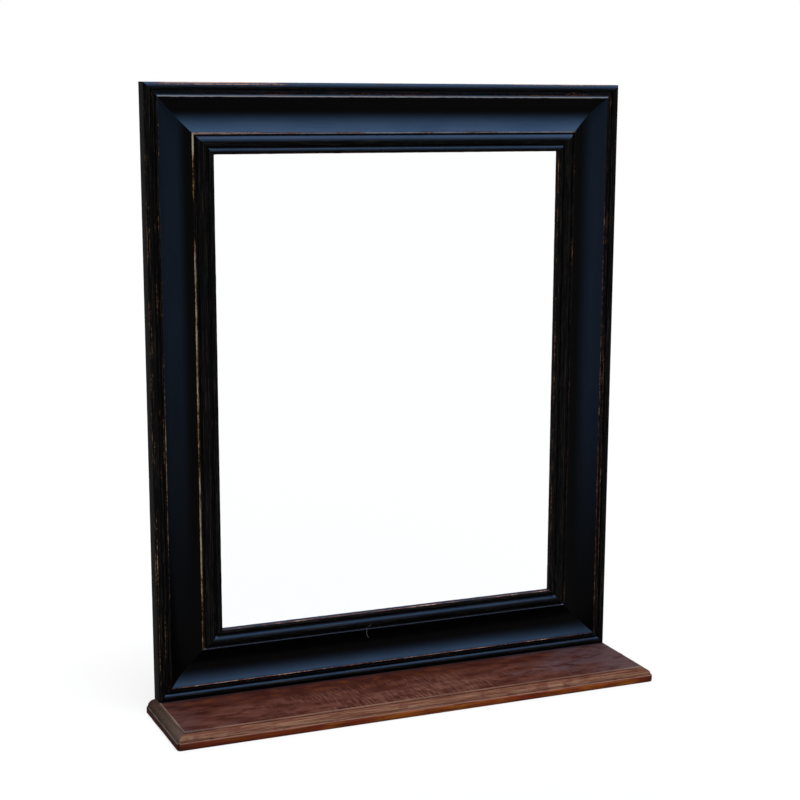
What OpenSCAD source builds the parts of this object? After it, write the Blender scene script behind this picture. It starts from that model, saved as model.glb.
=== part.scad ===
// Wall mirror with a shelf: a moulded, mitred and rebated wooden frame that stands on a moulded
// shelf board, with the mirror plate, its backing and the hanging hardware behind.
// Millimetres, +Z up, the front faces -Y. The origin is under the middle of the whole piece,
// on the plane that the shelf's underside rests on.

/* [Frame] */

// Width of the frame over its outer edges
frame_w = 746; // [600:1:900]
// Height of the frame, from the shelf's top to the frame's top edge
frame_h = 898; // [720:1:1080]
// Width of the moulded rails and stiles
rail_w = 100; // [84:1:120]
// Thickness of the moulding, from the wall face to the crown of the outer bead
frame_t = 28; // [28:0.5:34]
// How deep the cove is scooped below the line between its two arrises
cove_sag = 8; // [5:0.5:9]
// Width of the half-round bead along the outer edge
outer_bead_w = 10.4; // [9:0.1:12]
// Width of the low step between the outer bead and the raised fillet
low_step_w = 3; // [2.4:0.1:4]
// Width of the raised fillet that borders the cove
fillet_w = 3.6; // [2.8:0.1:5]
// Width of the bead nearest the plate
inner_bead_w = 15; // [13:0.5:17]
// Width of the raised lip at the sight edge
lip_w = 8.2; // [7:0.1:10]
// Width of the narrow grooves that part the beads from their neighbours
quirk_w = 1.9; // [1.4:0.1:2.6]

/* [Mirror plate and backing] */

// Width of the rebate behind the lip
rebate_w = 9; // [8:0.5:11]
// Thickness of the wood left in front of the plate, at the groove beside the lip
tongue_t = 2.4; // [2:0.1:2.8]
// Clearance between the plate's edge and the rebate wall
plate_gap = 2.6; // [2:0.1:3.2]
// Thickness of the silvered plate
plate_t = 4; // [3:0.5:4.5]
// Thickness of the backing board
board_t = 4; // [3:0.5:4.5]
// Thickness of the battens that hold the board
batten_t = 8; // [7:0.5:8]
// Width of those battens
batten_w = 12; // [10:1:16]

/* [Shelf] */

// How far the shelf's nose stands out past each side of the frame
shelf_overhang = 12.5; // [12.5:0.5:24]
// Depth of the shelf from the wall face to its nose
shelf_d = 169; // [140:1:210]
// Thickness of the shelf board
shelf_t = 23; // [21.5:0.5:27]
// Radius of the quarter-round on the shelf's edge
ovolo_r = 9.8; // [9:0.1:9.9]
// Height of the nose under the quarter-round
nose_h = 11.8; // [10:0.2:12.4]
// Radius of the nose's rounded top corner
nose_r = 1.2; // [0.8:0.1:1.2]

/* [Hanging hardware] */

// Distance of each hanger from the frame's outer edge
hanger_inset = 36; // [30:1:44]
// Distance of the hanger's hinge below the frame's top edge
hanger_drop = 190; // [130:5:240]
// Wire diameter of the hanging rings
wire_d = 2.5; // [2.2:0.1:3]
// Clear width inside a ring
ring_inner_w = 20; // [18:0.5:24]
// Radial clearance of the ring's bar in the strap's loop
ring_fit = 0.08; // [0.05:0.01:0.1]
// Thickness of the strap
strap_t = 1.2; // [1:0.1:1.4]
// Width of the strap
strap_w = 15; // [13:0.5:15.5]
// Diameter of the bumper pads on the wall face
bumper_d = 14; // [10:1:18]

/* [Hidden] */

$fn = 64;

// ---- where things are
bumper_t = 6;
total_d = shelf_d + bumper_t;
y_wall = -total_d / 2 + shelf_d;          // the frame's wall face
y_nose = -total_d / 2;                    // the shelf's nose
z_frame = shelf_t;                        // the frame's lower edge
z_mid = z_frame + frame_h / 2;
z_top = z_frame + frame_h;
shelf_w = frame_w + 2 * shelf_overhang;

// ---- the moulding, seen in section: x inwards from the outer edge, y out from the wall face
bead_top = frame_t;
bead_r1 = outer_bead_w / 2 + 0.65;        // a shade over half, so both sides end in an arris
flat_h = frame_t - 0.6;
low_x0 = outer_bead_w + quirk_w * 0.8;
low_x1 = low_x0 + low_step_w;
low_h = frame_t - 3;
flat_x0 = low_x1 + 1.3;
flat_x1 = flat_x0 + fillet_w;             // outer arris of the cove
step_h = frame_t - 8.6;
lip_x0 = rail_w - lip_w;
bead2_x1 = lip_x0 - quirk_w;
bead2_x0 = bead2_x1 - inner_bead_w;
step_x1 = bead2_x0 - quirk_w - 0.9;
step_x0 = step_x1 - 2.1;                  // inner arris of the cove
bead2_r = inner_bead_w / 2 + 1.1;
bead2_top = frame_t - 2.8;
lip_top = frame_t - 3.4;
lip_r = lip_w / 2 + 1.9;
quirk1_h = frame_t - 4.6;
groove1_h = frame_t - 4.2;
quirk2_h = frame_t - 10.5;
quirk3_h = frame_t - 7.6;
floor_h = frame_t - 13.2;

// ---- the plate, in the rebate
plate_face = quirk3_h - tongue_t;         // the plate's front, above the wall face
batten_recess = plate_face - plate_t - board_t - batten_t;
sight_w = frame_w - 2 * rail_w;
sight_h = frame_h - 2 * rail_w;
rebate_ow = sight_w + 2 * rebate_w;
rebate_oh = sight_h + 2 * rebate_w;
plate_w = rebate_ow - 2 * plate_gap;
plate_h = rebate_oh - 2 * plate_gap;
board_gap = 1;

// ---- the shelf's edge, seen in section: x inwards from the nose, y up from the underside
groove_x = nose_r + 0.6;
groove_h = nose_h - 0.9;
ovolo_x = groove_x + 0.4;
ovolo_h = nose_h + 0.7;
ovolo_c = ovolo_h - 2.1;                  // height of the quarter-round's centre
step_x = ovolo_x + 0.3 + ovolo_r;         // inner end of the moulded edge
under_r = 1.6;
corner_r = 3;                             // plan radius of the two front corners
soft = 1.02;                              // roundings cross their faces at a slight angle

// ---- fasteners
screw_y = y_wall - 13;
screw_r = 2.1;
screw_head_r = 4.2;
screw_len = 48;
screw_bore = 0.05;
dowel_r = 4;
dowel_len = 30;
dowel_in_shelf = 12;
screw_sink = 0.5;                         // how far the heads lie below the shelf's underside
screw_tip = 6;
screw_share = [-0.4, -0.2, 0, 0.2, 0.4];  // places along the frame's width
dowel_share = [-0.3, 0.3];
slot_w = 0.9;
brad_r = 0.7;
brad_len = 22;
brad_head = 0.6;
brad_share_v = [-0.36, -0.12, 0.12, 0.36];
brad_share_h = [-0.34, 0, 0.34];
nail_w = 9;
nail_h = 10;
nail_t = 0.6;
nail_sink = 0.4;
nail_u = [22, 62];                        // distance of the two nails from the frame's corner
block_len = 40;
spacer_len = 30;
bumper_inset = 36;
bumper_chamfer = 1.8;

// ---- hangers
hanger_x = frame_w / 2 - hanger_inset;
hanger_z = z_top - hanger_drop;
wire_r = wire_d / 2;
loop_r = wire_r + ring_fit;
axis_off = loop_r + strap_t + 0.65;       // hinge axis above the wall face
ring_hw = ring_inner_w / 2 + wire_r;      // half width over the wire's centre lines
ring_bend = 3;
ring_leg = 8;
strap_len = 46;
pan_z = [-26, -38];
pan_r = 3.2;
pan_h = 1.8;
pan_screw_r = 1.75;
pan_screw_len = 11;

black = [0.07, 0.08, 0.1];
red_brown = [0.36, 0.2, 0.15];
raw_wood = [0.62, 0.48, 0.34];
hardboard = [0.42, 0.3, 0.2];
silver = [0.85, 0.87, 0.88];
steel = [0.62, 0.62, 0.64];
rubber = [0.12, 0.12, 0.12];
cork = [0.68, 0.5, 0.33];

// ------------------------------------------------------------------ the moulding

// Height of the straight line between the cove's two arrises.
function cove_line(x) = flat_h + (step_h - flat_h) * (x - flat_x1) / (step_x0 - flat_x1);

// The cutter that scoops the cove: a circle through both arrises, cove_sag below their line.
module cove_cutter() {
  dx = step_x0 - flat_x1;
  dy = step_h - flat_h;
  chord = sqrt(dx * dx + dy * dy);
  r = (chord * chord / 4 + cove_sag * cove_sag) / (2 * cove_sag);
  nx = -dy / chord;
  ny = dx / chord;
  translate([(flat_x1 + step_x0) / 2 + nx * (r - cove_sag),
             (flat_h + step_h) / 2 + ny * (r - cove_sag)])
    circle(r, $fn = 180);
}

// A bead: a column with a crowned top, between x0 and x1.
module crowned(x0, x1, top, r) {
  translate([x0, 0])
    square([x1 - x0, top - r]);
  intersection() {
    translate([(x0 + x1) / 2, top - r])
      circle(r);
    translate([x0, top - r - 1])
      square([x1 - x0, r + 2]);
  }
}

// The whole section of a rail.
module rail_section() {
  difference() {
    union() {
      square([rail_w, floor_h]);
      square([low_x0 + 0.5, quirk1_h]);
      crowned(0, outer_bead_w, bead_top, bead_r1);
      translate([low_x0, 0])
        square([low_step_w, low_h]);
      translate([low_x1 - 0.5, 0])
        square([flat_x0 - low_x1 + 1, groove1_h]);
      translate([flat_x0, 0])
        square([fillet_w + 4, flat_h]);
      polygon([[flat_x1 + 4, 0], [step_x0 - 1.5, 0],
        [step_x0 - 1.5, cove_line(step_x0 - 1.5)], [flat_x1 + 4, cove_line(flat_x1 + 4)]]);
      translate([step_x0 - 1.5, 0])
        square([step_x1 - step_x0 + 1.5, step_h]);
      translate([step_x0, 0])
        square([bead2_x1 - step_x0, quirk2_h]);
      crowned(bead2_x0, bead2_x1, bead2_top, bead2_r);
      translate([bead2_x1 - 1, 0])
        square([rail_w - bead2_x1 + 1, quirk3_h]);
      crowned(lip_x0, rail_w, lip_top, lip_r);
    }
    cove_cutter();
    translate([rail_w - rebate_w, -1])
      square([rebate_w + 1, plate_face + 1]);
  }
}

// A length of moulding with both ends mitred: x inwards, y out from the wall, z along.
module rail(len) {
  difference() {
    translate([0, 0, -len / 2])
      linear_extrude(len)
        rail_section();
    for (s = [-1, 1])
      translate([0, 0, s * len / 2])
        rotate([0, s * 45, 0])
          translate([-10, -5, s > 0 ? 0 : -rail_w])
            cube([rail_w * 2, frame_t + 10, rail_w]);
  }
}

module as_left() {
  translate([-frame_w / 2, y_wall, z_mid])
    rotate([180, 0, 0])
      children();
}

module as_right() {
  translate([frame_w / 2, y_wall, z_mid])
    rotate([0, 0, 180])
      children();
}

module as_bottom() {
  translate([0, y_wall, z_frame])
    rotate([0, -90, 180])
      children();
}

module as_top() {
  translate([0, y_wall, z_top])
    rotate([0, 90, 180])
      children();
}

// One V-shaped nail, its point towards the sight edge, as it lies across a mitre.
module v_nail() {
  rotate([90, 0, 0])
    linear_extrude(nail_h)
      polygon([[-nail_w / 2, nail_w / 3], [0, 0], [nail_w / 2, nail_w / 3],
        [nail_w / 2, nail_w / 3 + nail_t * 1.3], [0, nail_t * 1.3],
        [-nail_w / 2, nail_w / 3 + nail_t * 1.3]]);
}

// Two nails at each corner, their outer ends a little below the wall face.
module corner_nails() {
  for (sx = [-1, 1])
    for (sz = [-1, 1])
      for (u = nail_u)
        translate([sx * (frame_w / 2 - u), y_wall - nail_sink, z_mid + sz * (frame_h / 2 - u)])
          rotate([0, sx * sz > 0 ? (sx > 0 ? 45 : -135) : (sx > 0 ? 135 : -45), 0])
            v_nail();
}

module shelf_screw_places() {
  for (x = screw_share)
    translate([x * frame_w, screw_y, 0])
      children();
}

module dowel_places() {
  for (x = dowel_share)
    translate([x * frame_w, screw_y, shelf_t - dowel_in_shelf])
      children();
}

module pan_places(s) {
  for (z = pan_z)
    translate([s * hanger_x, y_wall, hanger_z + z])
      rotate([-90, 0, 0])
        children();
}

// Brads through the battens into the rebate wall, from the sight side outwards.
module brad_places() {
  yb = y_wall - batten_recess - batten_t / 2;
  for (s = [-1, 1]) {
    for (k = brad_share_v)
      translate([s * (rebate_ow / 2 - batten_w), yb, z_mid + k * rebate_oh])
        rotate([0, s * 90, 0])
          children();
    for (k = brad_share_h)
      translate([k * rebate_ow, yb, z_mid + s * (rebate_oh / 2 - batten_w)])
        rotate([0, s > 0 ? 0 : 180, 0])
          children();
  }
}

module left_stile() {
  color(black)
    difference() {
      as_left()
        rail(frame_h);
      corner_nails();
      pan_places(-1)
        translate([0, 0, -pan_screw_len])
          cylinder(h = pan_screw_len + 1, r = pan_screw_r + screw_bore);
      brad_places()
        cylinder(h = brad_len, r = brad_r);
    }
}

module right_stile() {
  color(black)
    difference() {
      as_right()
        rail(frame_h);
      corner_nails();
      pan_places(1)
        translate([0, 0, -pan_screw_len])
          cylinder(h = pan_screw_len + 1, r = pan_screw_r + screw_bore);
      brad_places()
        cylinder(h = brad_len, r = brad_r);
    }
}

module top_rail() {
  color(black)
    difference() {
      as_top()
        rail(frame_w);
      corner_nails();
      brad_places()
        cylinder(h = brad_len, r = brad_r);
    }
}

module bottom_rail() {
  color(black)
    difference() {
      as_bottom()
        rail(frame_w);
      corner_nails();
      brad_places()
        cylinder(h = brad_len, r = brad_r);
      shelf_screw_places()
        cylinder(h = screw_len + 1, r = screw_r + screw_bore);
      dowel_places()
        cylinder(h = dowel_len, r = dowel_r);
    }
}

module mitre_nails() {
  color(steel)
    corner_nails();
}

// ------------------------------------------------------------------ plate and backing

module mirror_glass() {
  color(silver)
    translate([-plate_w / 2, y_wall - plate_face, z_mid - plate_h / 2])
      cube([plate_w, plate_t, plate_h]);
}

module setting_blocks() {
  color(rubber)
    for (s = [-1, 1])
      translate([s * plate_w / 4 - block_len / 2, y_wall - plate_face, z_mid - rebate_oh / 2])
        cube([block_len, plate_t, plate_gap]);
}

module edge_spacers() {
  color(cork)
    for (s = [-1, 1]) {
      for (z = [-0.3, 0.3])
        translate([s * (plate_w / 2 + plate_gap / 2) - plate_gap / 2,
                   y_wall - plate_face, z_mid + z * plate_h - spacer_len / 2])
          cube([plate_gap, plate_t, spacer_len]);
      translate([s * plate_w / 4 - spacer_len / 2, y_wall - plate_face, z_mid + plate_h / 2])
        cube([spacer_len, plate_t, plate_gap]);
    }
}

module backing_board() {
  color(hardboard)
    translate([-rebate_ow / 2 + board_gap, y_wall - plate_face + plate_t, z_mid - rebate_oh / 2 + board_gap])
      cube([rebate_ow - 2 * board_gap, board_t, rebate_oh - 2 * board_gap]);
}

module batten_bar(len) {
  translate([-len / 2, y_wall - batten_recess - batten_t, 0])
    cube([len, batten_t, batten_w]);
}

module brad_holes() {
  brad_places()
    translate([0, 0, -1])
      cylinder(h = brad_len, r = brad_r);
}

module top_batten() {
  color(raw_wood)
    difference() {
      translate([0, 0, z_mid + rebate_oh / 2 - batten_w])
        batten_bar(rebate_ow);
      brad_holes();
    }
}

module bottom_batten() {
  color(raw_wood)
    difference() {
      translate([0, 0, z_mid - rebate_oh / 2])
        batten_bar(rebate_ow);
      brad_holes();
    }
}

module side_batten(s) {
  difference() {
    translate([s * (rebate_ow / 2 - batten_w / 2) - batten_w / 2,
               y_wall - batten_recess - batten_t, z_mid - rebate_oh / 2 + batten_w])
      cube([batten_w, batten_t, rebate_oh - 2 * batten_w]);
    brad_holes();
  }
}

module left_batten() {
  color(raw_wood)
    side_batten(-1);
}

module right_batten() {
  color(raw_wood)
    side_batten(1);
}

module batten_brads() {
  color(steel)
    brad_places()
      union() {
        cylinder(h = brad_len, r = brad_r);
        translate([0, 0, -brad_head])
          cylinder(h = brad_head, r = brad_r * 1.6);
      }
}

// ------------------------------------------------------------------ shelf

// What the cutter takes off an edge: everything above and in front of the moulded outline.
module edge_waste() {
  difference() {
    translate([-5, -5])
      square([step_x + 5, shelf_t + 10]);
    // what stays
    difference() {
      union() {
        square([nose_r + 30, nose_h]);
        translate([ovolo_x, 0])
          square([30, ovolo_h]);
        translate([step_x, ovolo_c])
          circle(ovolo_r);
      }
      // rounded top corner of the nose
      difference() {
        translate([-1, nose_h - nose_r])
          square([nose_r + 1, nose_r + 1]);
        translate([nose_r, nose_h - nose_r])
          circle(nose_r * soft);
      }
      // rounded lower corner
      difference() {
        translate([-1, -1])
          square([under_r + 1, under_r + 1]);
        translate([under_r, under_r])
          circle(under_r * soft);
      }
      // narrow groove between nose and quarter-round
      translate([groove_x - 0.5, groove_h])
        square([0.9, nose_h]);
    }
  }
}

module end_waste() {
  translate([-shelf_w / 2, y_wall + 10, 0])
    rotate([90, 0, 0])
      linear_extrude(shelf_d + 20)
        edge_waste();
}

// What rounds a front corner in plan.
module corner_waste() {
  translate([-shelf_w / 2, y_nose, -1])
    linear_extrude(shelf_t + 2)
      difference() {
        translate([-2, -2])
          square([corner_r + 2, corner_r + 2]);
        translate([corner_r, corner_r])
          circle(corner_r * soft);
      }
}

module shelf_blank() {
  difference() {
    translate([-shelf_w / 2, y_nose, 0])
      cube([shelf_w, shelf_d, shelf_t]);
    // front edge
    translate([0, y_nose, 0])
      rotate([90, 0, 90])
        translate([0, 0, -shelf_w / 2 - 10])
          linear_extrude(shelf_w + 20)
            edge_waste();
    // both ends
    end_waste();
    mirror([1, 0, 0])
      end_waste();
    corner_waste();
    mirror([1, 0, 0])
      corner_waste();
  }
}

module screw_hole() {
  translate([0, 0, -1])
    cylinder(h = shelf_t + 2, r = screw_r + screw_bore);
  translate([0, 0, -1])
    cylinder(h = screw_sink + 1, r = screw_head_r + screw_bore);
  translate([0, 0, screw_sink])
    cylinder(h = screw_head_r - screw_r, r1 = screw_head_r + screw_bore, r2 = screw_r + screw_bore);
}

module shelf() {
  color(red_brown)
    difference() {
      shelf_blank();
      shelf_screw_places()
        screw_hole();
      dowel_places()
        cylinder(h = dowel_len, r = dowel_r);
    }
}

module shelf_screws() {
  color(steel)
    shelf_screw_places()
      difference() {
        union() {
          translate([0, 0, screw_sink])
            cylinder(h = screw_head_r - screw_r, r1 = screw_head_r, r2 = screw_r);
          translate([0, 0, screw_sink + screw_head_r - screw_r])
            cylinder(h = screw_len - screw_tip - screw_sink - screw_head_r + screw_r, r = screw_r);
          translate([0, 0, screw_len - screw_tip])
            cylinder(h = screw_tip, r1 = screw_r, r2 = 0.4);
        }
        for (a = [0, 90])
          rotate([0, 0, a])
            translate([-screw_head_r / 2, -slot_w / 2, 0])
              cube([screw_head_r, slot_w, 1.9]);
      }
}

module shelf_dowels() {
  color(raw_wood)
    dowel_places()
      cylinder(h = dowel_len, r = dowel_r);
}

// ------------------------------------------------------------------ hangers

// The strap: a plate on the wall face, its upper end folded round the ring's bar.
module strap(s) {
  translate([s * hanger_x, y_wall, hanger_z])
    difference() {
      union() {
        translate([-strap_w / 2, 0, -strap_len + strap_w / 2])
          cube([strap_w, strap_t, strap_len - strap_w / 2 + 1]);
        translate([0, 0, -strap_len + strap_w / 2])
          rotate([-90, 0, 0])
            cylinder(h = strap_t, r = strap_w / 2);
        translate([-strap_w / 2, axis_off, 0])
          rotate([0, 90, 0])
            cylinder(h = strap_w, r = loop_r + strap_t);
      }
      translate([-strap_w / 2 - 1, axis_off, 0])
        rotate([0, 90, 0])
          cylinder(h = strap_w + 2, r = loop_r);
      for (z = pan_z)
        translate([0, -1, z])
          rotate([-90, 0, 0])
            cylinder(h = strap_t + 2, r = pan_screw_r + 0.15);
    }
}

module left_hanger_strap() {
  color(steel)
    strap(-1);
}

module right_hanger_strap() {
  color(steel)
    strap(1);
}

// The ring hangs from its straight bar: bar, two bends, two legs and a round bow.
module ring(s) {
  bend_x = ring_hw - ring_bend;
  translate([s * hanger_x, y_wall + axis_off, hanger_z]) {
    translate([-bend_x, 0, 0])
      rotate([0, 90, 0])
        cylinder(h = 2 * bend_x, r = wire_r);
    for (a = [0, 180])
      rotate([0, 0, a]) {
        translate([bend_x, 0, -ring_bend])
          rotate([90, 0, 0])
            rotate_extrude(angle = 90)
              translate([ring_bend, 0])
                circle(wire_r);
        translate([ring_hw, 0, -ring_leg])
          cylinder(h = ring_leg - ring_bend, r = wire_r);
      }
    translate([0, 0, -ring_leg])
      rotate([90, 0, 0])
        rotate([0, 0, 180])
          rotate_extrude(angle = 180)
            translate([ring_hw, 0])
              circle(wire_r);
  }
}

module left_hanger_ring() {
  color(steel)
    ring(-1);
}

module right_hanger_ring() {
  color(steel)
    ring(1);
}

module hanger_screws() {
  color(steel)
    for (s = [-1, 1])
      pan_places(s)
        difference() {
          union() {
            translate([0, 0, -pan_screw_len + 3])
              cylinder(h = pan_screw_len - 3 + strap_t, r = pan_screw_r);
            translate([0, 0, -pan_screw_len])
              cylinder(h = 3, r1 = 0.3, r2 = pan_screw_r);
            translate([0, 0, strap_t])
              cylinder(h = pan_h * 0.55, r = pan_r);
            translate([0, 0, strap_t + pan_h * 0.55])
              cylinder(h = pan_h * 0.45, r1 = pan_r, r2 = pan_r * 0.62);
          }
          for (a = [0, 90])
            rotate([0, 0, a])
              translate([-pan_r / 2, -slot_w / 2, strap_t + pan_h - 1])
                cube([pan_r, slot_w, 2]);
        }
}

module wall_bumpers() {
  color(rubber)
    for (s = [-1, 1])
      translate([s * (frame_w / 2 - bumper_inset), y_wall, z_frame + bumper_inset])
        rotate([-90, 0, 0]) {
          cylinder(h = bumper_t * 0.7, r = bumper_d / 2);
          translate([0, 0, bumper_t * 0.7])
            cylinder(h = bumper_t * 0.3, r1 = bumper_d / 2, r2 = bumper_d / 2 - bumper_chamfer);
        }
}

top_rail();
bottom_rail();
left_stile();
right_stile();
mitre_nails();
mirror_glass();
setting_blocks();
edge_spacers();
backing_board();
top_batten();
bottom_batten();
left_batten();
right_batten();
batten_brads();
shelf();
shelf_screws();
shelf_dowels();
left_hanger_strap();
right_hanger_strap();
left_hanger_ring();
right_hanger_ring();
hanger_screws();
wall_bumpers();
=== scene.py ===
import math

import bmesh
import bpy
from mathutils import Matrix, Vector


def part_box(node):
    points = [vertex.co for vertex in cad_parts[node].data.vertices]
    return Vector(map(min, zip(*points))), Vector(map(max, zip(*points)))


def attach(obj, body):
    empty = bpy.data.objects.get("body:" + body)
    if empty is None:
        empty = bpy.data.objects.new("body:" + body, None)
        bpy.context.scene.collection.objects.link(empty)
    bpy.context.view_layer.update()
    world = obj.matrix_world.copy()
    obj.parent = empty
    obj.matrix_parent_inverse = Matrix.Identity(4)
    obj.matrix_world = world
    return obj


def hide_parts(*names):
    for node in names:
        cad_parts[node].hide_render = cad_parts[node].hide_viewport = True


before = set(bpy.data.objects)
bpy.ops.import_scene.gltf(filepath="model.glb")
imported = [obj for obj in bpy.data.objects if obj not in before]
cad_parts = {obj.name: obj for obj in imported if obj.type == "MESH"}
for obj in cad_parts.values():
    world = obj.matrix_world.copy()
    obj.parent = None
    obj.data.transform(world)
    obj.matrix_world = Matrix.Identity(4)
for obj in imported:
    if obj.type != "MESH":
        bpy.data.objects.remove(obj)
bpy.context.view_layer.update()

# A wall mirror: a moulded, mitred frame in rubbed black paint that stands on a red-brown shelf board.
# Metres, +Z up, the front faces -Y, as in the frame. Lengths written in millimetres carry * mm.
mm = 0.001
scene = bpy.context.scene
scene.view_settings.view_transform = "Standard"

# ------------------------------------------------------------------------------------ camera
# It stands left of the mirror and a little above its top, and looks down past it to the right.
# The view is a crop from a larger one, which the shift stands for.
camera_place = Vector((-1.0114, -2.4016, 0.9388))
camera_heading = math.radians(24.53)
camera_dip = math.radians(12.06)
camera_roll = math.radians(0.60)

bpy.ops.object.select_all(action="DESELECT")
bpy.ops.object.camera_add()
camera = bpy.context.object
camera.matrix_world = (Matrix.Translation(camera_place) @ Matrix.Rotation(-camera_heading, 4, "Z")
                       @ Matrix.Rotation(math.pi / 2 - camera_dip, 4, "X")
                       @ Matrix.Rotation(camera_roll, 4, "Z"))
camera.data.sensor_width = 36
camera.data.lens = 80.4
camera.data.shift_x = -0.0743
camera.data.shift_y = 0.0667
scene.camera = camera

# ------------------------------------------------------------------------- floor and light
# A plain white studio floor that runs out of sight, under a white surround. Both are only as
# bright as white for the eye and in reflections; the lamps, high and soft, light the mirror.
floor_size = 60
floor_glow = 0.72               # how much of the white that the eye meets is glow, not lit paint
room_light = 0.3                # how strongly the surround lights the mirror


def linear(hex_colour):
    """A colour written as sRGB hex, as the shaders' linear red, green, blue and alpha."""
    parts = [int(hex_colour[i:i + 2], 16) / 255 for i in (1, 3, 5)]
    return [c / 12.92 if c <= 0.04045 else ((c + 0.055) / 1.055) ** 2.4 for c in parts] + [1.0]


def blank_tree(owner):
    """The node tree of a new material or world, emptied."""
    owner.use_nodes = True
    owner.node_tree.nodes.clear()
    return owner.node_tree


def add_node(kind, *inputs, give=None, **named):
    """Adds a shader node to the tree in hand, and gives its first output in use, or the one asked for.

    Inputs stand in the order of the sockets in use, or are named with a capital: a number, a vector,
    a colour as sRGB hex, or the output that feeds them. The other names are the node's settings.
    """
    made = tree.nodes.new("ShaderNode" + kind)
    fed = []
    for name, value in named.items():
        if name.islower():
            setattr(made, name, value)
        else:
            fed.append((made.inputs[name.replace("_", " ")], value))
    fed += zip([socket for socket in made.inputs if socket.enabled], inputs)
    for socket, value in fed:
        if isinstance(value, bpy.types.NodeSocket):
            tree.links.new(value, socket)
        else:
            socket.default_value = linear(value) if isinstance(value, str) else value
    if give:
        return made.outputs[give]
    return next((socket for socket in made.outputs if socket.enabled), None)


def seen_white():
    """1 for what the eye meets, straight, in a reflection or through glass; 0 for light's own paths."""
    path = add_node("LightPath").node.outputs
    seen = add_node("Math", path["Is Camera Ray"], path["Is Glossy Ray"], operation="MAXIMUM")
    return add_node("Math", seen, path["Is Transmission Ray"], operation="MAXIMUM")


bpy.ops.object.select_all(action="DESELECT")
bpy.ops.mesh.primitive_plane_add(size=floor_size, location=(0, 0, 0))
floor = bpy.context.object
floor.name = "floor"

floor_paint = bpy.data.materials.new("matt white studio floor")
tree = blank_tree(floor_paint)
shaded = add_node("BsdfDiffuse", "#f4f4f4")
dim = add_node("BsdfDiffuse", "#8c8c8c")
glow = add_node("Emission", "#ffffff", 1.0)
lifted = add_node("MixShader", floor_glow, shaded, glow)
mixed = add_node("MixShader", seen_white(), dim, lifted)
add_node("OutputMaterial", mixed)
floor.data.materials.append(floor_paint)

world = bpy.data.worlds.new("white surround")
tree = blank_tree(world)
strength = add_node("MapRange", seen_white(), 0.0, 1.0, room_light, 1.0)
add_node("OutputWorld", add_node("Background", "#ffffff", strength))
scene.world = world

# name, where the light comes from (azimuth, 0 in front and + to the right; elevation), how wide
# the source looks, its strength and its colour
lamps = [
    ("skylight", 6, 77, 26, 2.6, "#f6f8ff"),
    ("light from behind", 180, 32, 60, 0.9, "#ffffff"),
]
for name, azimuth, elevation, width, power, colour in lamps:
    bpy.ops.object.light_add(type="SUN")
    lamp = bpy.context.object
    lamp.name = name
    lamp.rotation_euler = (math.radians(90 - elevation), 0, math.radians(azimuth))
    lamp.data.angle = math.radians(width)
    lamp.data.energy = power
    lamp.data.color = linear(colour)[:3]

# -------------------------------------------------------------------------- frame mouldings
# Four lengths of one wide moulding: a bead at the outer edge, a low step and a fillet, a deep
# cove, then a second bead and the lip over the plate. Run from mahogany-stained pine, mitred,
# glued and nailed; brushed with black paint and rubbed through along the arrises.
frame_low, frame_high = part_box("left_stile")
frame_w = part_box("right_stile")[1].x - frame_low.x
frame_h = frame_high.z - frame_low.z
wall_y = frame_high.y
frame_z = frame_low.z
frame_mid_z = frame_low.z + frame_h / 2
plate_front = wall_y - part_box("mirror_glass")[0].y          # the plate's face, out from the wall face

outer_crown = 28 * mm
outer_bead = (0.0, 10.4 * mm)
low_step = (11.92 * mm, 14.92 * mm)
fillet = (16.22 * mm, 19.82 * mm)
cove_end = 70 * mm
shoulder = 72.1 * mm
inner_bead = (74.9 * mm, 89.9 * mm)
lip = (91.8 * mm, 100 * mm)
rebate = 91 * mm
fillet_h = outer_crown - 0.6 * mm
shoulder_h = outer_crown - 8.6 * mm
cove_sag = 8 * mm


def crown(edges, top, radius):
    """Centre, height of both ends, and turn of a bead's crown between its two side faces."""
    half = (edges[1] - edges[0]) / 2
    centre = Vector(((edges[0] + edges[1]) / 2, top - radius, 0))
    return centre, centre.y + math.sqrt(radius ** 2 - half ** 2), 2 * math.asin(half / radius)


outer_c, outer_side, outer_turn = crown(outer_bead, outer_crown, 5.85 * mm)
inner_c, inner_side, inner_turn = crown(inner_bead, outer_crown - 2.8 * mm, 8.6 * mm)
lip_c, lip_side, lip_turn = crown(lip, outer_crown - 3.4 * mm, 6.0 * mm)

chord = Vector((cove_end - fillet[1], shoulder_h - fillet_h, 0))
cove_r = (chord.length ** 2 / 4 + cove_sag ** 2) / (2 * cove_sag)
cove_up = Vector((-chord.y, chord.x, 0)).normalized()
cove_c = Vector((fillet[1], fillet_h, 0)) + chord / 2 + cove_up * (cove_r - cove_sag)
cove_turn = 2 * math.asin(chord.length / 2 / cove_r)

# The section, walked from the outer back corner: a point is a straight stretch that ends there,
# and (centre, turn, steps) is a round one.
quirk_floor = outer_crown - 4.6 * mm
groove_floor = outer_crown - 4.2 * mm
step_top = outer_crown - 3 * mm
inner_quirk = outer_crown - 10.5 * mm
lip_quirk = outer_crown - 7.6 * mm
section = [
    (outer_bead[0], outer_side),
    (outer_c, -outer_turn, 14),
    (outer_bead[1], quirk_floor),
    (low_step[0], quirk_floor),
    (low_step[0], step_top),
    (low_step[1], step_top),
    (low_step[1], groove_floor),
    (fillet[0], groove_floor),
    (fillet[0], fillet_h),
    (fillet[1], fillet_h),
    (cove_c, cove_turn, 26),
    (shoulder, shoulder_h),
    (shoulder, inner_quirk),
    (inner_bead[0], inner_quirk),
    (inner_bead[0], inner_side),
    (inner_c, -inner_turn, 16),
    (inner_bead[1], lip_quirk),
    (lip[0], lip_quirk),
    (lip[0], lip_side),
    (lip_c, -lip_turn, 8),
    (lip[1], plate_front),
    (rebate, plate_front),
    (rebate, 0.0),
]
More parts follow.
